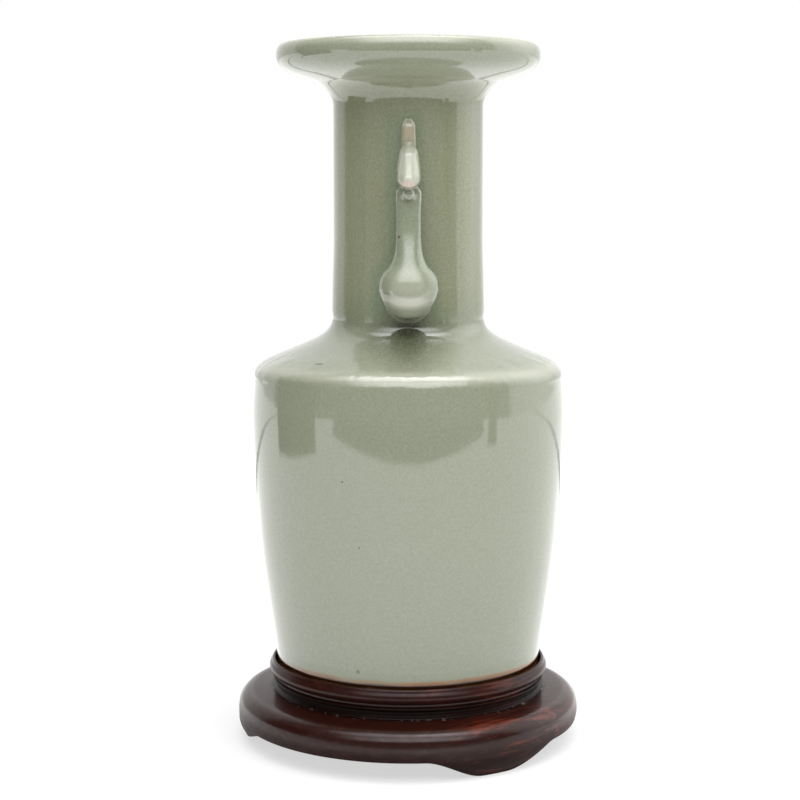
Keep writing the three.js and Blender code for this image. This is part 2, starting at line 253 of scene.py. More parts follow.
class Finishes(bpy.types.PropertyGroup):
    """Colours of the finishes, as linear values."""
    glaze: colour("Glaze", "Glaze on the body", (0.206, 0.226, 0.16))
    glaze_olive: colour("Olive glaze", "Glaze on the neck", (0.19, 0.202, 0.114))
    # also used for painted shade round and below the handles
    glaze_deep: colour("Deep glaze", "Glaze where it pools", (0.155, 0.195, 0.12))
    # mostly used for painted shade below and round the handles
    glaze_dark: colour("Dark glaze", "Glaze where it lies thickest", (0.042, 0.045, 0.018))
    # also used for painted highlights on the handles' breasts and heads
    glaze_thin: colour("Thin glaze", "Glaze where it runs thin over an edge", (0.5, 0.5, 0.42))
    glaze_tan: colour("Tan glaze", "Glaze on the crests of the handles", (0.36, 0.3, 0.21))
    glaze_pink: colour("Pink glaze", "Glaze on the lower edge of the beaks", (0.52, 0.38, 0.31))
    toasted: colour("Toasted clay", "Thin glaze over bare clay at the vase's foot", (0.21, 0.08, 0.006))
    burnt: colour("Burnt clay", "Dark line where the glaze ends", (0.03, 0.01, 0.003))
    clay: colour("Clay", "Bare clay under the glaze's lower edge", (0.2, 0.085, 0.04))
    wood: colour("Wood", "Dark stained wood", (0.018, 0.0042, 0.0027))
    wood_red: colour("Red wood", "Redder grain", (0.2, 0.036, 0.017))
    dust: colour("Dust", "Dust in the crease of the stand", (0.2, 0.16, 0.13))


def heading_vector(heading):
    """Unit vector in an outline's plane. A heading of 0 degrees is outwards and 90 is up."""
    angle = math.radians(heading)
    return np.array([math.cos(angle), math.sin(angle)])


def outline(knots, step=0.0013, turn_step=4):
    """Smooth outline through knots of radius, height and heading in degrees.

    From knot to knot runs a cubic curve that leaves and arrives along their headings. Its handles
    are those of a circular arc that turns as much: two thirds of the chord, times the tangent of a
    quarter of the turn over the sine of half of it. Two knots in one place make a corner. Gives the
    points, and for each step the outward normals at its two ends."""
    points = [np.array([knots[0][:2]])]
    normals = []
    for (r0, z0, heading0), (r1, z1, heading1) in zip(knots, knots[1:]):
        start, end = np.array([r0, z0]), np.array([r1, z1])
        chord = np.linalg.norm(end - start)
        if chord < 1e-7:
            continue
        turn = math.radians(abs((heading1 - heading0 + 180) % 360 - 180))
        reach = chord / 3
        if turn > 1e-3:
            reach = chord * 2 / 3 * math.tan(turn / 4) / math.sin(turn / 2)
        leave = start + reach * heading_vector(heading0)
        arrive = end - reach * heading_vector(heading1)
        steps = max(math.ceil(chord / step), math.ceil(math.degrees(turn) / turn_step))
        t = np.linspace(0, 1, steps + 1)[:, None]
        back = 1 - t
        path = back**3 * start + 3 * back**2 * t * leave + 3 * back * t**2 * arrive + t**3 * end
        along = back**2 * (leave - start) + 2 * back * t * (arrive - leave) + t**2 * (end - arrive)
        normal = np.stack([along[:, 1], -along[:, 0]], axis=1)
        normal /= np.linalg.norm(normal, axis=1, keepdims=True)
        points.append(path[1:])
        normals.append(np.stack([normal[:-1], normal[1:]], axis=1))
    return np.concatenate(points), np.concatenate(normals)


def closed_skin(name, rings, lowest=None, highest=None):
    """Mesh through rings of points, an array of rings by columns by 3, each anticlockwise from above.

    Neighbouring rings are joined by a grid of four-sided faces. A lowest or highest point closes an
    end with a fan, and without them the last ring joins the first. The grid's faces come first, ring
    by ring, and the fans after them."""
    count, columns = rings.shape[:2]
    ring_steps = count - 1 if lowest is not None or highest is not None else count
    low, column = np.meshgrid(np.arange(ring_steps), np.arange(columns), indexing="ij")
    low, column = low.ravel(), column.ravel()
    nxt, high = (column + 1) % columns, (low + 1) % count
    quads = np.stack([low * columns + column, low * columns + nxt, high * columns + nxt,
                      high * columns + column], axis=1)
    points = [rings.reshape(-1, 3)]
    fans = []
    around = np.arange(columns)
    following = (around + 1) % columns
    if lowest is not None:
        fans.append(np.stack([np.full(columns, count * columns), following, around], axis=1))
        points.append([lowest])
    if highest is not None:
        tip = count * columns + (lowest is not None)
        last = (count - 1) * columns
        fans.append(np.stack([np.full(columns, tip), last + around, last + following], axis=1))
        points.append([highest])
    points = np.concatenate(points)
    corners = np.concatenate([quads.ravel()] + [fan.ravel() for fan in fans])
    sizes = np.concatenate([np.full(len(quads), 4)] + [np.full(columns, 3) for fan in fans])

    mesh = bpy.data.meshes.new(name)
    mesh.vertices.add(len(points))
    mesh.vertices.foreach_set("co", points.astype(np.float32).ravel())
    mesh.loops.add(len(corners))
    mesh.loops.foreach_set("vertex_index", corners.astype(np.int32))
    mesh.polygons.add(len(sizes))
    starts = np.concatenate([[0], np.cumsum(sizes)[:-1]])
    mesh.polygons.foreach_set("loop_start", starts.astype(np.int32))
    mesh.update(calc_edges=True)
    mesh.validate()
    mesh.shade_smooth()
    return add_object(name, mesh)


def turned(name, points, normals, columns):
    """Surface of revolution about the Z axis: each point of the outline, at radius r, goes to
    r cos a, r sin a for evenly spaced angles a. An outline that starts and ends on the axis gets
    a fan at each end, and any other closes on itself. The normals are turned with the outline."""
    angle = np.linspace(0, 2 * math.pi, columns, endpoint=False)
    circle = np.stack([np.cos(angle), np.sin(angle)], axis=1)
    on_axis = points[0, 0] < 1e-7
    inner = points[1:-1] if on_axis else points[:-1]
    rings = np.concatenate([inner[:, None, :1] * circle[None], np.broadcast_to(
        inner[:, None, 1:], (len(inner), columns, 1))], axis=2)
    ends = [(0, 0, z) for z in points[[0, -1], 1]] if on_axis else (None, None)
    piece = closed_skin(name, rings, *ends)

    ring_normals = normals[1:-1] if on_axis else normals
    spun = np.empty((len(ring_normals), columns, 4, 3))
    for corner, (end, shift) in enumerate([(0, 0), (0, 1), (1, 1), (1, 0)]):
        side = np.roll(circle, -shift, axis=0)
        spun[:, :, corner, :2] = ring_normals[:, None, end, :1] * side[None]
        spun[:, :, corner, 2] = ring_normals[:, None, end, 1]
    loops = [spun.reshape(-1, 3)]
    if on_axis:
        fans = [(normals[0], [(0, 0), (1, 1), (1, 0)]), (normals[-1], [(1, 0), (0, 0), (0, 1)])]
        for step, corners in fans:
            fan = np.empty((columns, 3, 3))
            for corner, (end, shift) in enumerate(corners):
                fan[:, corner, :2] = step[end, 0] * np.roll(circle, -shift, axis=0)
                fan[:, corner, 2] = step[end, 1]
            loops.append(fan.reshape(-1, 3))
    piece.data.normals_split_custom_set(np.concatenate(loops))
    return piece


def raised(knots, height):
    """The same knots, that much higher."""
    return [(r, z + height, heading) for r, z, heading in knots]


def body_outline(s):
    """Outline of the body from the axis under the foot, up the outside to the neck, and back down
    the inside: a foot ring, a wall that leans out and rounds to upright, a sharp rounded shoulder,
    a sloping top and a fillet that ends upright."""
    neck_foot = NECK_Z - FOOT_Z
    foot = s.lower_radius - s.foot_inset
    ring_inside = foot - s.foot_ring_wall
    inner_round, outer_round, hollow_round = 0.0006, 0.0012, 0.002
    lean_out, lean_up = 0.0049, 0.039
    lean = math.degrees(math.atan2(lean_up, lean_out))
    floor_wall = 0.005
    turn_out = (s.belly_radius - s.shoulder_round, s.shoulder_height + s.shoulder_round)
    neck = s.neck_radius + s.neck_swell
    fillet = (neck + 1.06 * s.neck_fillet, neck_foot - s.neck_fillet)
    fall = 180 - math.degrees(math.atan2(fillet[1] - turn_out[1], turn_out[0] - fillet[0]))
    bore = s.neck_radius - s.wall
    floor = s.foot_ring + floor_wall
    return raised([
        (0, s.foot_ring, 0),
        (ring_inside - hollow_round, s.foot_ring, 0),
        (ring_inside, s.foot_ring - hollow_round, -90),
        (ring_inside, inner_round, -90),
        (ring_inside + inner_round, 0, 0),
        (foot - outer_round, 0, 0),
        (foot, outer_round, 90),
        (s.lower_radius, s.lower_height, lean),
        (s.belly_radius - 0.0026, 0.0634, 86.2),
        (s.belly_radius, s.belly_height, 90),
        (s.belly_radius - s.shoulder_tuck, s.shoulder_height, 94),
        (turn_out[0], turn_out[1], fall - 1),
        (fillet[0], fillet[1], fall - 1),
        (neck, neck_foot, 90),
        (neck, neck_foot, 180),
        (bore, neck_foot, 180),
        (bore, neck_foot, 270),
        (bore + 0.006, neck_foot - 0.012, 330),
        (s.belly_radius - 0.014, s.shoulder_height - 0.002, 325),
        (s.belly_radius - s.wall, s.belly_height, 270),
        (s.lower_radius - s.wall, floor + 0.006, lean + 180),
        (s.lower_radius - s.wall - 0.008, floor, 180),
        (0, floor, 180),
    ], FOOT_Z)


def neck_outline(s):
    """Outline of the neck: a tube whose outside swells slightly towards its foot."""
    neck_foot, mouth_foot = NECK_Z - FOOT_Z, MOUTH_Z - FOOT_Z
    bore = s.neck_radius - s.wall
    return raised([
        (s.neck_radius + s.neck_swell, neck_foot, 90),
        (s.neck_radius + 0.5 * s.neck_swell, neck_foot + 0.55 * s.swell_height, 91.6),
        (s.neck_radius, neck_foot + s.swell_height, 90),
        (s.neck_radius, mouth_foot, 90),
        (s.neck_radius, mouth_foot, 180),
        (bore, mouth_foot, 180),
        (bore, mouth_foot, 270),
        (bore, neck_foot, 270),
        (bore, neck_foot, 0),
        (s.neck_radius + s.neck_swell, neck_foot, 0),
    ], FOOT_Z)


def mouth_outline(s):
    """Outline of the mouth: a fillet and a shallow cone under it, a thick rounded lip, and a dish
    that falls into the bore."""
    mouth_foot = MOUTH_Z - FOOT_Z
    bore = s.neck_radius - s.wall
    cone_top = mouth_foot + s.flare_height + s.cone_rise
    lip_middle = cone_top + s.lip_rise
    top = lip_middle + s.lip_height
    lip_inside = s.mouth_radius - s.lip_width
    dish = cone_top + 0.005
    return raised([
        (s.neck_radius, mouth_foot, 90),
        (s.neck_radius + s.flare_width, mouth_foot + s.flare_height, 17),
        (s.mouth_radius - s.lip_rise, cone_top, 21),
        (s.mouth_radius, lip_middle, 91),
        (s.mouth_radius - 0.46 * s.lip_width, top, 180),
        (lip_inside, lip_middle + 0.0009, 268),
        (lip_inside - 0.006, dish, 182),
        (bore + 0.0053, dish - s.cone_rise, 196),
        (bore, dish - s.cone_rise - 0.007, 270),
        (bore, mouth_foot, 270),
        (bore, mouth_foot, 0),
        (s.neck_radius, mouth_foot, 0),
    ], FOOT_Z)


def collar_outline(s, lower_radius, seat):
    """Outline of the collar: a foot, a hollow waist, a small bead, a rounded lip and, inside, the
    cup and the ledge for the vase."""
    cup = lower_radius + s.clearance
    waist = cup + s.waist_wall
    hollow = waist - s.waist_hollow
    bead_foot = waist - 0.0002
    bead_high = seat - 0.0004
    bead_low = bead_high - 2 * s.bead
    ledge_round = 0.0005
    top = COLLAR_TOP_Z
    return [
        (cup - s.ledge, BASE_TOP_Z, 0),
        (waist, BASE_TOP_Z, 0),
        (waist, BASE_TOP_Z, 90),
        (waist - 0.0001, BASE_TOP_Z + 0.0004, 120),
        (hollow, BASE_TOP_Z + 0.0016, 90),
        (hollow, bead_low - 0.0007, 90),
        (bead_foot, bead_low, 0),
        (bead_foot + s.bead, (bead_low + bead_high) / 2, 90),
        (bead_foot, bead_high, 180),
        (waist - 0.001, bead_high + 0.0007, 90),
        (waist - 0.0004, bead_high + 0.0014, 15),
        (cup + s.lip_wall, top - 0.0034, 90),
        (cup + 0.72 * s.lip_wall, top - 0.0015, 124),
        (cup + 0.0008, top, 175),
        (cup + 0.0002, top - 0.0004, 250),
        (cup, top - 0.0014, 270),
        (cup, seat, 270),
        (cup, seat, 180),
        (cup - s.ledge + ledge_round, seat, 180),
        (cup - s.ledge, seat - ledge_round, 270),
        (cup - s.ledge, BASE_TOP_Z, 270),
    ]


def base_rings(s, waist):
    """Rings of the base, from the middle of its underside outwards, up over the skirt and the
    rounded edge, and in over the top.

    The skirt's lower edge follows the angle from the nearest foot's middle: it is at the resting
    plane over the foot's flat length and climbs to the foot's height by a smooth step. Below that
    height the skirt draws in by the draw-in times the depth's share to the power 1.5. Its lower
    corners are rounded as quarter circles."""
    angle = np.linspace(0, 2 * math.pi, s.columns, endpoint=False)
    third = 2 * math.pi / 3
    off_foot = np.abs((angle + math.pi / 2 - s.foot_turn + third / 2) % third - third / 2)
    flat, spread = s.foot_width / 2 / s.base_radius, s.foot_spread / 2 / s.base_radius
    climb = np.clip((off_foot - flat) / (spread - flat), 0, 1)
    edge = s.foot_height * climb**2 * (3 - 2 * climb)

    widest = BASE_TOP_Z - s.widest_drop
    lower = s.base_radius - s.lower_inset
    recess = s.foot_height + s.recess
    inside = lower - s.skirt_wall
    corner = 0.0009
    edge_height = s.widest_drop - s.top_fall
    radii, heights = [], []

    def ring(radius, height):
        radii.append(np.broadcast_to(radius, angle.shape))
        heights.append(np.broadcast_to(height, angle.shape))

    def skirt_radius(height):
        return lower - s.foot_draw_in * np.clip(1 - height / s.foot_height, 0, 1)**1.5

    for share in (0.3, 0.6, 0.9, 0.99, 1):
        ring(share * inside, recess)
    for share in (0.05, 0.5, 0.93):
        ring(inside, recess + share * (edge + corner - recess))
    for turn in np.radians((30, 60, 90)):
        ring(inside + corner * (1 - np.cos(turn)), edge + corner * (1 - np.sin(turn)))
    bottom = skirt_radius(edge + corner)
    for share in (0.1, 0.5, 0.9):
        ring(inside + corner + share * (bottom - inside - 2 * corner), edge)
    for turn in np.radians((0, 18, 36, 54, 72, 90)):
        ring(bottom - corner * (1 - np.sin(turn)), edge + corner * (1 - np.cos(turn)))
    upright = widest - edge - corner
    for share in np.linspace(0, 1, SKIRT_RINGS + 1)[1:]:
        height = edge + corner + share * upright
        ring(skirt_radius(height) + s.lower_inset * share * (2 - share), height)
    top = outline([
        (s.base_radius, widest, 90),
        (s.base_radius - 0.0004, widest + 0.46 * edge_height, 100),
        (s.base_radius - 0.0017, widest + 0.79 * edge_height, 132),
        (s.base_radius - s.edge_width, BASE_TOP_Z - s.top_fall, 157),
        (s.base_radius - 2.2 * s.edge_width, BASE_TOP_Z - 0.4 * s.top_fall, 174),
        (waist + 0.0005, BASE_TOP_Z - 0.0001, 177),
        (waist - 0.001, BASE_TOP_Z, 180),
        (0.3 * waist, BASE_TOP_Z, 180),
    ], BASE_EDGE_STEP)[0]
    for radius, height in top[1:]:
        ring(radius, height)
    radii, heights = np.array(radii), np.array(heights)
    rings = np.stack([radii * np.cos(angle), radii * np.sin(angle), heights], axis=2)
    return rings, (0, 0, recess), (0, 0, BASE_TOP_Z)


def eased(at, stations, values):
    """Smooth curve through values at stations, read at any places. It is made of cubic pieces. The
    slope at a station is the harmonic mean of the slopes beside it, or 0 where they differ in sign,
    so the curve never overshoots."""
    stations, values = np.array(stations, float), np.array(values, float)
    slopes = np.diff(values) / np.diff(stations)
    tangent = np.concatenate([slopes[:1], np.zeros(len(slopes) - 1), slopes[-1:]])
    product = slopes[:-1] * slopes[1:]
    total = np.where(product > 0, slopes[:-1] + slopes[1:], 1)
    tangent[1:-1] = np.where(product > 0, 2 * product / total, 0)
    i = np.clip(np.searchsorted(stations, at) - 1, 0, len(stations) - 2)
    gap = stations[i + 1] - stations[i]
    t = np.clip((at - stations[i]) / gap, 0, 1)
    rise = t**2 * (3 - 2 * t)
    return (values[i] * (1 - rise) + values[i + 1] * rise
            + gap * t * (1 - t) * ((1 - t) * tangent[i] - t * tangent[i + 1]))


def level_rings(heights, half_widths, starts, middles, reaches, columns, front_power=2.0,
                back_power=2.0):
    """Level rings through heights, each measured out from the neck towards -Y.

    A ring is widest, by its half width each way, at its middle. It runs from there out to its reach
    and back to its start as two halves of ovals, in which the powers of the shares across and
    along add up to 1. A power of 2 is an ellipse, and a higher one is squarer."""
    angle = np.linspace(0, 2 * math.pi, columns, endpoint=False)
    power = 2 / np.where(np.sin(angle) > 0, back_power, front_power)
    across = np.sign(np.cos(angle)) * np.abs(np.cos(angle))**power
    inward = np.sign(np.sin(angle)) * np.abs(np.sin(angle))**power
    depth = np.where(inward > 0, (middles - starts)[:, None], (reaches - middles)[:, None])
    x = half_widths[:, None] * across
    y = -(middles[:, None] - depth * inward)
    return np.stack([x, y, np.broadcast_to(heights[:, None], x.shape)], axis=2)


def bird_rings(h, columns):
    """Rings of the breast, the bird's neck and the crest, from the bottom up.

    Below its widest level the breast rounds off: with d the share of the way down, its width goes
    by the square root of 1 - d to the power 1.6, and its reach by 1 - d cubed to the power 0.45.
    The slot behind the neck has the depth times (1 - |m| to the power 4) to the power 1/4, with m
    from -1 to 1 over the slot's height. The tip of the crest rounds off as a quarter circle does."""
    lowest, tip_round = -0.0006, 0.0032
    heights = np.linspace(lowest, h.total, HANDLE_RINGS)[1:-1]
    down = np.clip((h.breast_middle - heights) / (h.breast_middle - lowest), 0, 1)
    breast, shaft, crest = h.breast_width / 2, h.shaft_width / 2, h.crest_width / 2
    slot_top = h.slot_bottom + h.slot_height
    head_top = h.head_bottom + h.head_length
    front = h.slot_depth + h.shaft_depth
    width = eased(heights, [
        lowest, h.breast_middle, h.breast_middle + 0.0032, h.slot_bottom - 0.0062,
        h.slot_bottom - 0.0035, h.slot_bottom, h.slot_bottom + 0.0035, h.slot_bottom + 0.009,
        h.slot_bottom + 0.016,
        h.head_bottom - 0.0026, h.head_bottom - 0.0012, h.head_bottom + 0.0002, h.head_bottom + 0.0018,
        slot_top + 0.005, head_top - 0.002, head_top + 0.0045, h.total - 0.002, h.total], [
        breast, breast, 0.965 * breast, 0.84 * breast, 0.63 * breast,
        0.5 * breast, 1.09 * shaft, 1.01 * shaft, shaft,
        1.06 * shaft, 1.04 * shaft, 0.88 * shaft, 0.7 * shaft,
        0.66 * shaft, 0.88 * crest, 0.85 * crest, 0.76 * crest, 0.7 * crest])
    width *= np.sqrt(1 - down**1.6)
    tip = np.clip((heights - h.total + tip_round) / tip_round, 0, 1)
    width *= np.sqrt(1 - tip**2)
    reach = eased(heights, [
        lowest, h.breast_middle - 0.001, h.breast_middle + 0.002, h.breast_middle + 0.0045,
        h.slot_bottom - 0.004, h.slot_bottom + 0.001, h.slot_bottom + 0.006, h.slot_bottom + 0.01,
        h.slot_bottom + 0.014, h.slot_bottom + 0.018, h.head_bottom - 0.0045, h.head_bottom - 0.0014,
        h.head_bottom + 0.0008, slot_top, head_top - 0.002, head_top + 0.0004, head_top + 0.0024,
        h.total - 0.002, h.total], [
        h.breast_reach, h.breast_reach, 0.985 * h.breast_reach, 0.945 * h.breast_reach,
        0.86 * h.breast_reach, 0.752 * h.breast_reach, 0.655 * h.breast_reach, 0.598 * h.breast_reach,
        0.566 * h.breast_reach, 0.552 * h.breast_reach, 0.535 * h.breast_reach, 0.48 * h.breast_reach,
        0.65 * front, 0.62 * front, 0.5 * front, 0.33 * front, 0.3 * front,
        0.22 * front, 0.18 * front])
    reach *= (1 - down**3)**0.45 * np.sqrt(1 - tip**2)
    middle = eased(heights, [lowest, h.breast_middle, slot_top, head_top, h.total],
                   [0.45 * front, 0.55 * front, 0.6 * front, 0.2 * front, 0.08 * front])
    middle = np.minimum(middle, 0.7 * reach)
    along = (heights - h.slot_bottom) / h.slot_height * 2 - 1
    inside = np.clip(1 - along**4, 0, 1)**0.25
    sunk = -0.003
    start = np.where(np.abs(along) < 1, np.minimum(h.slot_depth, 0.85 * middle) * inside, sunk)
    return level_rings(heights, width, start, middle, reach, columns, 1.9, 3.0)


def head_rings(h, columns, hood):
    """Rings of the head, a drop that is widest a quarter of the way up. Towards its lower end the
    width goes by the square root of 1 - d to the power 2.2, with d the share of the way down, and
    over the last fifth towards its upper end by that of 1 - d squared. The hood is a slightly wider
    and longer drop behind it, whose edge shows as a raised line round the top of the head."""
    share = (1 - np.cos(np.linspace(0, math.pi, 60)[1:-1])) / 2
    low = np.clip(1 - share / 0.24, 0, 1)
    high = np.clip((share - 0.8) / 0.2, 0, 1)
    width = eased(share, [0, 0.24, 0.45, 0.66, 0.83, 1], [1, 1, 0.93, 0.81, 0.7, 0.6])
    width *= h.head_width / 2
    width *= np.sqrt(1 - low**2.2) * np.sqrt(1 - high**2)
    reach = eased(share, [0, 0.06, 0.2, 0.45, 0.66, 0.83, 0.95, 1],
                  [0.84, 0.96, 1, 0.9, 0.79, 0.69, 0.58, 0.5])
    reach *= h.head_reach
    length = h.head_length
    if hood:
        width += 0.00035 * share
        reach = 0.88 * reach
        length += 0.0009
    back = np.minimum(h.slot_depth - 0.002, 0.6 * reach)
    middle = back + 0.4 * (reach - back)
    return level_rings(h.head_bottom + share * length, width, back, middle, reach, columns, 2.1)


def ball_rings(h, columns):
    """Rings of the small ball under the beak, a sphere."""
    angle = np.linspace(-math.pi / 2, math.pi / 2, 26)[1:-1]
    radius = h.ball / 2
    middle = np.full_like(angle, h.slot_depth + 0.7 * h.shaft_depth)
    across = radius * np.cos(angle)
    heights = h.head_bottom - 0.0018 + radius * np.sin(angle)
    return level_rings(heights, across, middle - across, middle, middle + across, columns)


def fused(name, shells, voxel, rounds):
    """One closed skin round several overlapping ones. It is remeshed in small cubes and smoothed,
    which also softens the creases between the shells, as glaze does."""
    for shell in shells[1:]:
        shell.select_set(True)
    bpy.context.view_layer.objects.active = shells[0]
    with bpy.context.temp_override(active_object=shells[0], selected_editable_objects=shells):
        bpy.ops.object.join()
    remesh = shells[0].modifiers.new("fuse", "REMESH")
    remesh.mode = "VOXEL"
    remesh.voxel_size = voxel
    smooth = shells[0].modifiers.new("soften", "SMOOTH")
    smooth.iterations = rounds
    finished = shells[0].evaluated_get(bpy.context.evaluated_depsgraph_get())
    mesh = bpy.data.meshes.new_from_object(finished)
    bpy.data.objects.remove(shells[0])
    mesh.name = name
    return add_object(name, mesh)


def stands_out(points, normals, edges, rounds=30):
    """How far each point stands out, in metres, from the average of the points round it, which is
    taken over its neighbours again and again. Ridges are above 0 and creases below."""
    both = np.concatenate([edges, edges[:, ::-1]])
    count = np.bincount(both[:, 0], minlength=len(points))
    blurred = points
    for _ in range(rounds):
        blurred = np.stack([np.bincount(both[:, 0], blurred[both[:, 1], axis], len(points)) / count
                            for axis in range(3)], axis=1)
    return ((points - blurred) * normals).sum(1)


def lute_to_neck(piece, neck_curve, foot, wide, narrow):
    """Seats a handle on the neck with a fillet of glaze, and stores its ridges and creases.

    With e the distance out from the neck's surface and R the fillet's radius, a point nearer than R
    moves along the neck's surface by R - sqrt(R squared - (R - e) squared), in the direction that
    its face looks. The fillet is wide round the breast and narrow above it. It dips a little into
    the neck, and points further in are brought up to just under the neck's surface."""
    mesh = piece.data
    points = read_values(mesh.vertices, "co", 3).astype(float)
    normals = read_values(mesh.vertices, "normal", 3)
    edges = read_values(mesh.edges, "vertices", 2, np.int32)
    ridge_scale, dip, deepest = 0.0004, 0.00015, -0.0005

    out = np.hypot(points[:, 0], points[:, 1])
    surface = np.interp(points[:, 2], neck_curve[:, 1], neck_curve[:, 0])
    lowest, breast_end, shaft_start, highest = -0.01, 0.014, 0.024, 0.09
    radius = eased(points[:, 2] - foot, [lowest, breast_end, shaft_start, highest],
                   [wide, wide, narrow, narrow])
    gap = np.clip(out - surface + dip, 0, radius)
    push = radius - np.sqrt(radius**2 - (radius - gap)**2)
    radial = np.stack([points[:, 0] / out, points[:, 1] / out, 0 * out], axis=1)
    sideways = normals - (normals * radial).sum(1, keepdims=True) * radial
    relief = stands_out(points, normals, edges) / ridge_scale

    moved = points + push[:, None] * sideways
    moved_out = np.hypot(moved[:, 0], moved[:, 1])
    moved[:, :2] *= (np.maximum(out, surface + deepest) / moved_out)[:, None]
    mesh.vertices.foreach_set("co", moved.astype(np.float32).ravel())
    for name, values in (("relief", np.clip(relief, -1, 1)), ("fillet", 1 - gap / radius)):
        attribute = mesh.attributes.new(name, "FLOAT", "POINT")
        attribute.data.foreach_set("value", values.astype(np.float32))
    mesh.update()
    mesh.shade_smooth()


class Number:
    """A number in a material, so that sums on it read as sums. Each operator adds a Math node."""

    def __init__(self, finish, socket):
        self.finish = finish
        self.socket = socket

    def maths(self, operation, *values):
        node = self.finish.node("ShaderNodeMath", {"operation": operation}, dict(enumerate(values)))
        return Number(self.finish, node.outputs[0])

    def __add__(self, other):
        return self.maths("ADD", self, other)

    def __sub__(self, other):
        return self.maths("SUBTRACT", self, other)

    def __rsub__(self, other):
        return self.maths("SUBTRACT", other, self)

    def __mul__(self, other):
        return self.maths("MULTIPLY", self, other)

    def __truediv__(self, other):
        return self.maths("DIVIDE", self, other)

    def __pow__(self, other):
        return self.maths("POWER", self, other)

    __radd__ = __add__
    __rmul__ = __mul__

    def absolute(self):
        """The number without its sign."""
        return self.maths("ABSOLUTE", self)

    def step(self, low, high):
        """0 below low and 1 above high, or the other way round if high is less, smooth between."""
        node = self.finish.node("ShaderNodeMapRange", {"interpolation_type": "SMOOTHSTEP"},
                                {"Value": self, "From Min": low, "From Max": high})
        return Number(self.finish, node.outputs[0])

    def within(self, start, full, fading, end):
        """1 from full to fading, and 0 below start and above end, smooth between."""
        return self.step(start, full) * self.step(end, fading)


class Finish:
    """A material, a lamp or the world, and the nodes that are added to it."""

    def __init__(self, owner, place="Object"):
        self.owner = owner
        owner.use_nodes = True
        self.tree = owner.node_tree
        self.tree.nodes.clear()
        self.place = self.node("ShaderNodeTexCoord").outputs[place]

    def node(self, kind, settings=None, inputs=None):
        """Adds a node of that type. Its settings are set first, then its sockets' values or links."""
        added = self.tree.nodes.new(kind)
        for key, value in (settings or {}).items():
            setattr(added, key, value)
        for key, value in (inputs or {}).items():
            if isinstance(value, Number):
                value = value.socket
            if isinstance(value, bpy.types.NodeSocket):
                self.tree.links.new(value, added.inputs[key])
            else:
                added.inputs[key].default_value = value
        return added

    def axis(self, name):
        """The X, Y or Z of the surface, in metres."""
        return Number(self, self.node("ShaderNodeSeparateXYZ", None, {0: self.place}).outputs[name])

    def radius(self):
        """Distance from the Z axis."""
        x, y = self.axis("X"), self.axis("Y")
        return (x * x + y * y)**0.5

    def stretched(self, scale, turn=0.0):
        """The place turned about the Z axis, then with each axis multiplied by its own scale."""
        turned_place = self.node("ShaderNodeMapping", None,
                                 {"Vector": self.place, "Rotation": (0, 0, turn)})
        inputs = {"Vector": turned_place.outputs[0], "Scale": scale}
        return self.node("ShaderNodeMapping", None, inputs).outputs[0]

    def noise(self, scale, detail=2.0, roughness=0.5, place=None):
        """Cloudy noise around 0.5, with its largest clouds about 1/scale metres across."""
        inputs = {"Vector": place or self.place, "Scale": scale, "Detail": detail,
                  "Roughness": roughness}
        return Number(self, self.node("ShaderNodeTexNoise", None, inputs).outputs[0])

    def mix(self, share, first, second):
        """A colour between two others."""
        def shade(value):
            return value if isinstance(value, bpy.types.NodeSocket) else (*value, 1)
        inputs = {0: share, 6: shade(first), 7: shade(second)}
        return self.node("ShaderNodeMix", {"data_type": "RGBA"}, inputs).outputs[2]

    def spot(self, centre, size):
        """1 in a small round spot at a point, falling to 0 at its edge."""
        far = self.node("ShaderNodeVectorMath", {"operation": "DISTANCE"}, {0: self.place, 1: centre})
        return Number(self, far.outputs["Value"]).step(size, 0.4 * size)

    def pool(self, height, tall, wide):
        """1 in an oval in front of and behind the neck, at a height above the neck's foot, falling
        to 0 that far above, below and to the sides."""
        across = self.axis("X") / wide
        along = (self.axis("Z") - (NECK_Z + height)) / tall
        return (across * across + along * along).step(1, 0.1)

    def bump(self, height, distance, strength=1.0, normal=None):
        """A normal for a surface that is raised by the height times that distance in metres."""
        inputs = {"Height": height, "Distance": distance, "Strength": strength}
        if normal is not None:
            inputs["Normal"] = normal
        return self.node("ShaderNodeBump", None, inputs).outputs[0]

    def attribute(self, name):
        """A number that is stored on the mesh, 0 where it has none of that name."""
        return Number(self, self.node("ShaderNodeAttribute", {"attribute_name": name}).outputs["Fac"])

    def shader(self, **sockets):
        """The one shader of a surface, with these socket values or links."""
        return self.node("ShaderNodeBsdfPrincipled", None,
                         {key.replace("_", " "): value for key, value in sockets.items()}).outputs[0]

    def surface(self, shader):
        """Ends the material with that shader."""
        self.node("ShaderNodeOutputMaterial", None, {"Surface": shader})
        return self.owner


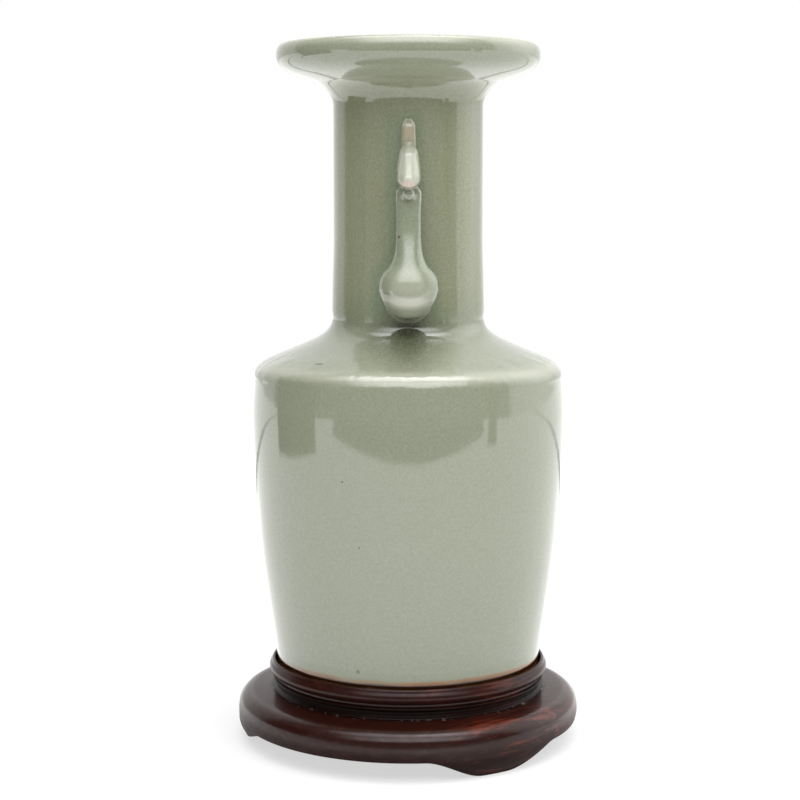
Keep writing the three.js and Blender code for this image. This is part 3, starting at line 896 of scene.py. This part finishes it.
def glaze_material(colours):
    """Glossy celadon over a fine speckle. It is olive on the neck, and deeper in the handles' creases
    and round the handles as pooled glaze with painted shade. Below the handles it is dark with pooled
    glaze and painted shade and reflection, and on the shoulder round them with painted shade. It is
    thin and pale over ridges, the rim and the shoulder's edge, and the handles' breasts and heads carry
    painted highlights. It ends at the foot in a toasted and a burnt line, over bare clay."""
    glaze = Finish(bpy.data.materials.new("celadon_glaze"))
    height, radius = glaze.axis("Z"), glaze.radius()
    above_neck_foot, mouth = height - NECK_Z, MOUTH_Z - NECK_Z
    above_edge = height - SHOULDER_EDGE_Z
    pools = {name: glaze.pool(*sizes) for name, sizes in POOLS.items()}
    relief = glaze.attribute("relief")
    clouds = glaze.noise(14, 3)
    speckle = glaze.noise(1400, 2, 0.6)
    grains = glaze.noise(650, 3, 0.7)
    streaks = glaze.noise(260, 3, 0.6, glaze.stretched((1, 1, 0.05)))
    bands = glaze.noise(75, 2, 0.5, glaze.stretched((1, 1, 0.3)))

    # olive in streaks down the neck, but hardly on the handles
    neck = above_neck_foot.within(-0.006, 0.008, mouth + 0.002, mouth + 0.015)
    handle = radius.step(0.0318, 0.0335)
    handle = handle * above_neck_foot.within(0.002, 0.004, mouth - 0.002, mouth + 0.001)
    olive = neck * (1 - handle * 0.9) * ((streaks - 0.5) * 1.6 + (bands - 0.5) * 0.9 + 0.75)
    shade = glaze.mix(olive, colours.glaze, colours.glaze_olive)

    # deep on the neck close to the handles, as pooled glaze with painted shade that lies more to their
    # left, and deep at the neck's foot, in creases and on the ball under the beak
    off_middle = (glaze.axis("X") + 0.0013).absolute()
    handle_half = above_neck_foot.step(0.029, 0.018) * 0.0065 + 0.0044
    halo = (off_middle - handle_half).step(0.0042, 0.0012)
    halo = halo * above_neck_foot.within(0.001, 0.006, 0.077, 0.085) * (1 - handle)
    neck_foot = above_neck_foot.within(-0.009, -0.001, 0.001, 0.022)
    ball = pools["ball"] * handle
    depth = halo * 0.75 + neck_foot * 0.3 + (clouds - 0.5) * 0.4 + (streaks - 0.5) * neck * 0.7
    depth = depth * (1 - handle) + relief.step(0.55, 0) * 0.4 * (handle - ball)
    # below each handle, pooled glaze with painted shade and a painted reflection of the handle
    depth = depth + pools["under_handle"] * 0.9 + ball * 0.5
    shade = glaze.mix(depth, shade, colours.glaze_deep)
    # darker there in a painted core of shade
    dark = pools["under_handle"] * 0.2 + pools["thickest_and_shaded"] * 0.4
    # painted shade on the shoulder round each handle's foot, where the mouth and neck shade it
    dark = dark + pools["painted_shade_round_handle"] * (1 - handle) * 0.45
    shade = glaze.mix(dark, shade, colours.glaze_dark)

    # thin and pale on ridges of the handles, the shoulder's edge and the rim, with painted highlights
    # and reflections on the handles' breasts and heads
    thin_and_highlit_parts = pools["breast_edge"] * 0.4 + pools["breast"] * 0.3 + pools["head"] * 0.6
    thin = relief.step(0.45, 0.95) * 0.85 * (1 - ball) + glaze.attribute("fillet") * 0.25
    thin = thin + handle * thin_and_highlit_parts + above_edge.within(-0.0035, 0, 0, 0.003) * 0.4
    thin = thin + height.step(RIM_Z - 0.004, RIM_Z - 0.0005) * 0.4
    shade = glaze.mix(thin, shade, colours.glaze_thin)
    crest = handle * above_neck_foot.step(0.068, 0.073)
    shade = glaze.mix(crest * 0.9, shade, colours.glaze_tan)
    shade = glaze.mix(pools["beak"] * handle * 0.6, shade, colours.glaze_pink)
    mottle = (speckle - 0.5) * 0.4 + (grains - 0.5) * 0.2
    shade = glaze.mix(mottle + 0.08, shade, colours.glaze_thin)
    for place, size in FLAWS:
        shade = glaze.mix(glaze.spot(place, size) * 0.65, shade, colours.burnt)

    # the glaze's lower edge, just above the stand: deeper, toasted, burnt, then bare clay
    above_line = height + (glaze.noise(60, 3) - 0.5) * 0.0016 - (COLLAR_TOP_Z + 0.0008)
    shade = glaze.mix(above_line.step(0.0056, 0.005) * 0.2, shade, colours.glaze_deep)
    toast = (glaze.noise(45, 2) + glaze.axis("X") * 4).step(0.2, 0.7) * 0.6 + 0.4
    shade = glaze.mix(above_line.step(0.0028, 0.001) * toast, shade, colours.toasted)
    shade = glaze.mix(above_line.step(0.001, 0.0002), shade, colours.burnt)
    bare = above_line.step(-0.0008, -0.0018)
    shade = glaze.mix(bare, shade, colours.clay)

    # ripples from throwing, waves at the shoulder's edge that tear the reflection, and fine peel
    ripple = glaze.noise(35, 2, 0.4, glaze.stretched((1, 1, 0.5)))
    normal = glaze.bump(ripple, 0.0006, 0.35)
    normal = glaze.bump(glaze.noise(110, 2), 0.00012, 0.3, normal)
    waves = glaze.noise(50, 3, 0.6, glaze.stretched((1, 1, 0.5)))
    waves = (waves - 0.5) * above_edge.within(-0.006, -0.001, 0.003, 0.009)
    normal = glaze.bump(waves, 0.0025, 0.5, normal)
    tears = glaze.noise(600, 2, 0.6, glaze.stretched((0.12, 0.12, 1)))
    normal = glaze.bump(tears, 0.000012, 0.6, normal)
    normal = glaze.bump(grains, 0.00002, 0.4, normal)
    roughness = speckle * 0.04 + 0.05 + bare * 0.4
    return glaze.surface(glaze.shader(Base_Color=shade, Roughness=roughness, IOR=1.68,
                                      Normal=normal))


def wood_material(colours):
    """Dark stained hardwood. The grain runs across the stand, with red streaks in it where the
    stain has worn, most of them at the right. The edges have a wax sheen, the flat top and the
    hollow waist are duller, painted shade makes the waist nearly black, and dust sits where the collar
    meets the base."""
    wood = Finish(bpy.data.materials.new("dark_hardwood"))
    height, radius = wood.axis("Z"), wood.radius()
    above_base = height - BASE_TOP_Z
    grain_turn = math.radians(-35)
    grain = wood.noise(70, 6, 0.7, wood.stretched((0.16, 1.8, 2.6), grain_turn))
    fibres = wood.noise(420, 4, 0.75, wood.stretched((0.13, 1, 1.3), grain_turn))
    pores = wood.noise(1100, 2, 0.6, wood.stretched((0.5, 1, 1), grain_turn))
    patches = wood.noise(22, 3)

    # worn patches show red along the grain
    worn = (patches + wood.spot(*HANDLED) * 0.45).step(0.57, 0.87)
    red = worn * ((grain - 0.5) * 2.8 + (fibres - 0.5) * 2.2 + 0.14) + (fibres - 0.5) * 0.3
    shade = wood.mix(red, colours.wood, colours.wood_red)

    # painted shade makes the collar's hollow waist nearly black, and dust sits in the crease below it
    waist_height = FOOT_Z - BASE_TOP_Z
    waist = above_base.within(-0.0004, 0.0002, waist_height - 0.0008, waist_height + 0.0002)
    waist = waist * radius.step(0.0575, 0.0568)
    shade = wood.mix(waist * 0.8, shade, tuple(0.12 * part for part in colours.wood))
    crease = above_base.within(-0.0003, 0, 0.0002, 0.0005)
    crease = crease * radius.within(0.0545, 0.055, 0.056, 0.0575)
    specks = wood.noise(330, 3, 0.7).step(0.56, 0.66)
    shade = wood.mix(crease * specks * 0.8, shade, colours.dust)

    # the wax is uneven, thinner on the flat top and nearly gone in the waist
    flat = above_base.step(-0.0012, -0.0006) * radius.step(0.066, 0.063)
    wax = (patches - 0.5) * 0.5 + (fibres - 0.5) * 0.6 + 0.5
    wax = wax * (1 - flat * 0.4) * (1 - waist * 0.85)
    normal = wood.bump(pores, 0.00006, 0.6)
    normal = wood.bump(grain, 0.0005, 0.3, normal)
    return wood.surface(wood.shader(Base_Color=shade, IOR=1.5, Specular_IOR_Level=0.06,
                                    Normal=normal, Roughness=(fibres - 0.5) * 0.3 + 0.4,
                                    Coat_Weight=wax, Coat_Roughness=0.14, Coat_IOR=1.5,
                                    Coat_Tint=(1, 0.92, 0.9, 1)))


def finish_piece(piece, body, material, node):
    """Gives a piece its material and its body, and puts it in a CAD node's place."""
    piece.data.materials.clear()
    piece.data.materials.append(material)
    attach(piece, body)
    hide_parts(node)


def find_material(name, maker):
    """The material of that name, made on first use."""
    return bpy.data.materials.get(name) or maker(bpy.context.scene.vase_finishes)


class VASE_OT_thrown_parts(bpy.types.Operator):
    """Makes the body, the neck and the mouth of the vase"""
    bl_idname = "vase.thrown_parts"
    bl_label = "Body, neck and mouth"

    def execute(self, context):
        sizes = context.scene.vase_sizes
        glaze = find_material("celadon_glaze", glaze_material)
        for part, knots in (("body", body_outline(sizes)), ("neck", neck_outline(sizes)),
                            ("mouth", mouth_outline(sizes))):
            piece = turned("glazed_" + part, *outline(knots, VASE_STEP), sizes.columns)
            finish_piece(piece, "vase", glaze, "vase_" + part)
        return {"FINISHED"}


class VASE_OT_handles(bpy.types.Operator):
    """Makes the two bird-shaped handles"""
    bl_idname = "vase.handles"
    bl_label = "Handles"

    def execute(self, context):
        sizes, vase = context.scene.handle_sizes, context.scene.vase_sizes
        glaze = find_material("celadon_glaze", glaze_material)
        origin = np.array([0, -vase.neck_radius, NECK_Z + sizes.foot])
        shells = []
        for part, rings in (("bird", bird_rings(sizes, BIRD_COLUMNS)),
                            ("hood", head_rings(sizes, HEAD_COLUMNS, True)),
                            ("head", head_rings(sizes, HEAD_COLUMNS, False)),
                            ("ball", ball_rings(sizes, BALL_COLUMNS))):
            lowest, highest = rings[0].mean(0), rings[-1].mean(0)
            shells.append(closed_skin(part, rings + origin, lowest + origin, highest + origin))
        front = fused("glazed_handle_front", shells, FUSING_CUBE, SMOOTHING_ROUNDS)
        neck_curve = outline(neck_outline(vase)[:4])[0]
        lute_to_neck(front, neck_curve, NECK_Z + sizes.foot, sizes.fillet, sizes.narrow_fillet)
        back = add_object("glazed_handle_back", front.data.copy())
        half_a_turn = (-1, -1, 1)
        points = read_values(back.data.vertices, "co", 3) * half_a_turn
        back.data.vertices.foreach_set("co", points.astype(np.float32).ravel())
        back.data.update()
        finish_piece(front, "vase", glaze, "handle_front")
        finish_piece(back, "vase", glaze, "handle_back")
        return {"FINISHED"}


class VASE_OT_stand(bpy.types.Operator):
    """Makes the collar and the base of the stand"""
    bl_idname = "vase.stand"
    bl_label = "Stand"

    def execute(self, context):
        sizes, vase = context.scene.stand_sizes, context.scene.vase_sizes
        wood = find_material("dark_hardwood", wood_material)
        knots = collar_outline(sizes, vase.lower_radius, FOOT_Z)
        collar = turned("wooden_collar", *outline(knots, COLLAR_STEP), sizes.columns)
        finish_piece(collar, "stand", wood, "stand_collar")
        waist = vase.lower_radius + sizes.clearance + sizes.waist_wall
        rings, lowest, highest = base_rings(sizes, waist)
        base = closed_skin("wooden_base", rings, lowest, highest)
        base.data.set_sharp_from_angle(angle=SHARP_ANGLE)
        finish_piece(base, "stand", wood, "stand_base")
        return {"FINISHED"}


def soft_light(name, azimuth, elevation, distance, width, height, radiance):
    """A rectangular lamp that looks at the middle of the vase and fades towards its own edges.

    The azimuth is from the front towards the right and the elevation from level upwards, both in
    degrees. The radiance is its middle's, in watts per square metre and steradian."""
    panel = bpy.data.lights.new(name, "AREA")
    panel.shape = "RECTANGLE"
    panel.size, panel.size_y = width, height
    panel.energy = radiance * width * height * math.pi
    glow = Finish(panel)
    place_on = glow.node("ShaderNodeNewGeometry").outputs["Parametric"]
    sides = glow.node("ShaderNodeSeparateXYZ", None, {0: place_on}).outputs
    fade = 1
    for axis, share in (("X", 0.4), ("Y", 0.35)):
        fade = Number(glow, sides[axis]).within(0, share, 1 - share, 1) * fade
    lit = glow.node("ShaderNodeEmission", None, {"Strength": fade}).outputs[0]
    glow.node("ShaderNodeOutputLight", None, {"Surface": lit})

    turn, rise = math.radians(azimuth), math.radians(elevation)
    light = add_object(name, panel)
    light.location = (distance * math.cos(rise) * math.sin(turn),
                      -distance * math.cos(rise) * math.cos(turn),
                      LIGHT_AIM_Z + distance * math.sin(rise))
    light.rotation_euler = (math.pi / 2 - rise, 0, turn)
    light.visible_camera = False


def dark_board(name, azimuth, distance, width, height, grey):
    """A grey upright board that stands on the floor, outside the picture, and shows only as a
    reflection. The azimuth is from the front towards the right, in degrees."""
    turn = math.radians(azimuth)
    out = np.array([math.sin(turn), -math.cos(turn), 0])
    along = np.array([math.cos(turn), math.sin(turn), 0]) * width / 2
    up = np.array([0, 0, height])
    left, right = distance * out - along, distance * out + along
    mesh = bpy.data.meshes.new(name)
    mesh.from_pydata([corner.tolist() for corner in (left, right, right + up, left + up)], [],
                     [(0, 1, 2, 3)])
    board = add_object(name, mesh)
    cloth = Finish(bpy.data.materials.new(name))
    dull = cloth.shader(Base_Color=(grey, grey, grey, 1), Roughness=1.0, Specular_IOR_Level=0.0)
    mesh.materials.append(cloth.surface(dull))
    board.visible_camera = False


def floor_material():
    """Pale floor. The camera sees it take the object's shadow and fade to plain white further out.

    For everything else it is a bright table top, dim close to the object, where its shadow lies,
    and with a darker gap across it behind the object. In front it ends in a straight edge, and at
    each side a wing of it runs on past that edge."""
    floor = Finish(bpy.data.materials.new("pale_floor"))
    camera = Number(floor, floor.node("ShaderNodeLightPath").outputs["Is Camera Ray"])
    lit = floor.shader(Base_Color=(0.88, 0.88, 0.88, 1), Roughness=0.9)
    x, y = floor.axis("X"), floor.axis("Y")
    front_edge, softness = -0.56, 0.005
    before_edge = y.step(front_edge + softness, front_edge - softness)
    between_wings = (x * x - y * y * 1.9).step(0.05, -0.05)
    gap = y.within(0.53, 0.55, 0.59, 0.61)
    table = (1 - before_edge * between_wings) * (1 - gap * 0.7) * floor.radius().step(0.05, 0.14)
    strength = camera + (1 - camera) * (table * 1.6 + 0.15)
    white = floor.node("ShaderNodeEmission", None, {"Color": (1, 1, 1, 1), "Strength": strength})
    share = 1 - camera * floor.radius().step(0.3, 0.09) * 0.38
    mixed = floor.node("ShaderNodeMixShader", None, {0: share, 1: lit, 2: white.outputs[0]})
    return floor.surface(mixed.outputs[0])


def studio_world(world):
    """White behind the object for the camera. For everything else it is a pale room behind the
    object and at its right, brightest straight behind it and at a window on the right, and dim in
    front and on the left."""
    studio = Finish(world, "Generated")
    camera = Number(studio, studio.node("ShaderNodeLightPath").outputs["Is Camera Ray"])
    away = studio.axis("Y")
    right = studio.axis("X").step(-0.1, 0.1)
    pale = away.step(0.36 - right * 0.6, 0.46 - right * 0.6)
    window = right * pale * away.step(0.8, 0.4)
    room = pale * 0.66 + away.step(0.55, 0.95) * 0.3 + window * 0.5 + 0.23
    strength = camera + (1 - camera) * room
    background = studio.node("ShaderNodeBackground", None,
                             {"Color": (1, 1, 1, 1), "Strength": strength})
    studio.node("ShaderNodeOutputWorld", None, {"Surface": background.outputs[0]})


class VASE_OT_stage(bpy.types.Operator):
    """Makes the floor, the world, the lamps, the boards and the camera"""
    bl_idname = "vase.stage"
    bl_label = "Floor, lamps and camera"

    def execute(self, context):
        scene = context.scene
        angle = np.linspace(0, 2 * math.pi, FLOOR_POINTS, endpoint=False)
        rim = FLOOR_RADIUS * np.stack([np.cos(angle), np.sin(angle), 0 * angle], axis=1)
        mesh = bpy.data.meshes.new("floor")
        mesh.from_pydata(rim.tolist(), [], [list(range(FLOOR_POINTS))])
        floor = add_object("floor", mesh)
        mesh.materials.append(floor_material())
        scene.world = bpy.data.worlds.new("studio")
        studio_world(scene.world)

        for settings in LAMPS:
            soft_light(*settings)
        for settings in BOARDS:
            dark_board(*settings)

        camera = add_object("camera", bpy.data.cameras.new("camera"))
        camera.data.lens = CAMERA_LENS
        camera.data.sensor_width = CAMERA_SENSOR
        camera.location = CAMERA_PLACE
        camera.rotation_euler = (CAMERA_TILT, 0, 0)
        scene.camera = camera
        scene.view_settings.view_transform = "Standard"
        return {"FINISHED"}


class VASE_PT_panel(bpy.types.Panel):
    """Lists the pieces of the vase and its stand"""
    bl_label = "Vase"
    bl_space_type = "VIEW_3D"
    bl_region_type = "UI"
    bl_category = "Vase"

    def draw(self, context):
        for operator in OPERATORS:
            self.layout.operator(operator.bl_idname)
        for group_name, group in GROUPS.items():
            box = self.layout.box()
            for name in group.__annotations__:
                box.prop(getattr(context.scene, group_name), name)


OPERATORS = (VASE_OT_thrown_parts, VASE_OT_handles, VASE_OT_stand, VASE_OT_stage)
GROUPS = {"vase_sizes": VaseSizes, "handle_sizes": HandleSizes, "stand_sizes": StandSizes,
          "vase_finishes": Finishes}


def register():
    for group in GROUPS.values():
        bpy.utils.register_class(group)
    for name, group in GROUPS.items():
        setattr(bpy.types.Scene, name, bpy.props.PointerProperty(type=group))
    for operator in OPERATORS:
        bpy.utils.register_class(operator)
    bpy.utils.register_class(VASE_PT_panel)


def unregister():
    bpy.utils.unregister_class(VASE_PT_panel)
    for operator in reversed(OPERATORS):
        bpy.utils.unregister_class(operator)
    for name, group in reversed(GROUPS.items()):
        delattr(bpy.types.Scene, name)
        bpy.utils.unregister_class(group)


def main():
    """Makes the whole scene."""
    register()
    bpy.ops.vase.thrown_parts()
    bpy.ops.vase.handles()
    bpy.ops.vase.stand()
    bpy.ops.vase.stage()


if __name__ == "__main__":
    main()
